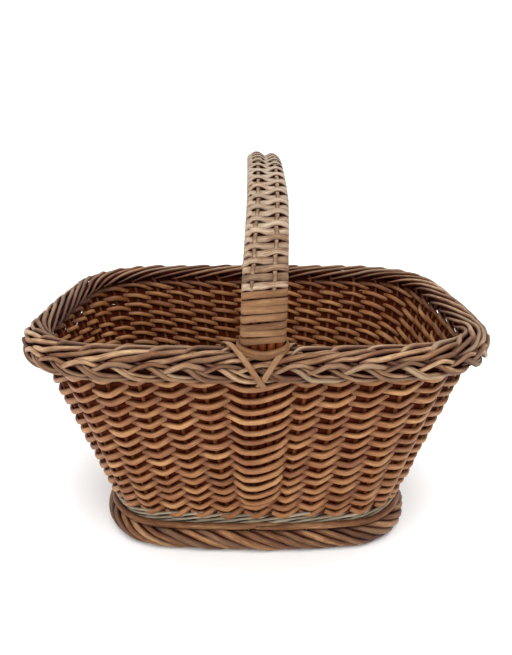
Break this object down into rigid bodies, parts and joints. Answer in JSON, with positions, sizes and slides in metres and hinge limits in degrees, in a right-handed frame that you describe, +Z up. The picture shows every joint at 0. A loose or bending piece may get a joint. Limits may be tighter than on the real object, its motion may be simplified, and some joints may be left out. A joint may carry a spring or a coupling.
{
  "type": "woven market basket",
  "caption": "Rounded rectangular woven willow basket with flared sides, plaited rim, rolled foot and a fixed wrapped cross handle for carrying shopping.",
  "frame": {"origin": "on the ground, at the middle of the foot", "axes": "+X along the basket, +Y from the front to the rear, in line with the handle, +Z up"},
  "size_m": [0.45, 0.3488, 0.3889],
  "materials": {
    "base_willow": "matt",
    "foot_willow": "matt",
    "grey_willow": "matt",
    "border_willow": "matt",
    "handle_skein": "matt",
    "pale_skein": "matt",
    "bow_willow": "matt",
    "stake_willow": "matt",
    "weave_willow": "matt"
  },
  "bodies": {
    "root": {"base_cross_stick_1": "base_willow", "base_cross_stick_2": "base_willow", "base_cross_stick_3": "base_willow", "base_cross_stick_4": "base_willow", "base_cross_stick_5": "base_willow", "base_cross_stick_6": "base_willow", "base_cross_stick_7": "base_willow", "base_cross_stick_8": "base_willow", "base_cross_stick_9": "base_willow", "base_long_stick_1": "base_willow", "base_long_stick_2": "base_willow", "base_long_stick_3": "base_willow", "base_long_stick_4": "base_willow", "base_long_stick_5": "base_willow", "base_weave": "base_willow", "border_plait": "border_willow", "border_roll": "border_willow", "crown_wrap": "handle_skein", "foot_border": "foot_willow", "foot_rod": "foot_willow", "front_collar": "handle_skein", "front_left_lashing": "pale_skein", "front_right_lashing": "pale_skein", "front_stakes": "stake_willow", "front_wrap": "handle_skein", "handle_bow_rod_1": "bow_willow", "handle_bow_rod_2": "bow_willow", "handle_bow_rod_3": "bow_willow", "handle_bow_rod_4": "bow_willow", "handle_bow_rod_5": "bow_willow", "left_end_stakes": "stake_willow", "left_listing_rod": "handle_skein", "rear_collar": "handle_skein", "rear_left_lashing": "pale_skein", "rear_right_lashing": "pale_skein", "rear_stakes": "stake_willow", "rear_wrap": "handle_skein", "right_end_stakes": "stake_willow", "right_listing_rod": "handle_skein", "side_weave": "weave_willow", "upsett_wale_1": "grey_willow", "upsett_wale_2": "grey_willow", "upsett_wale_3": "grey_willow"}
  },
  "joints": []
}
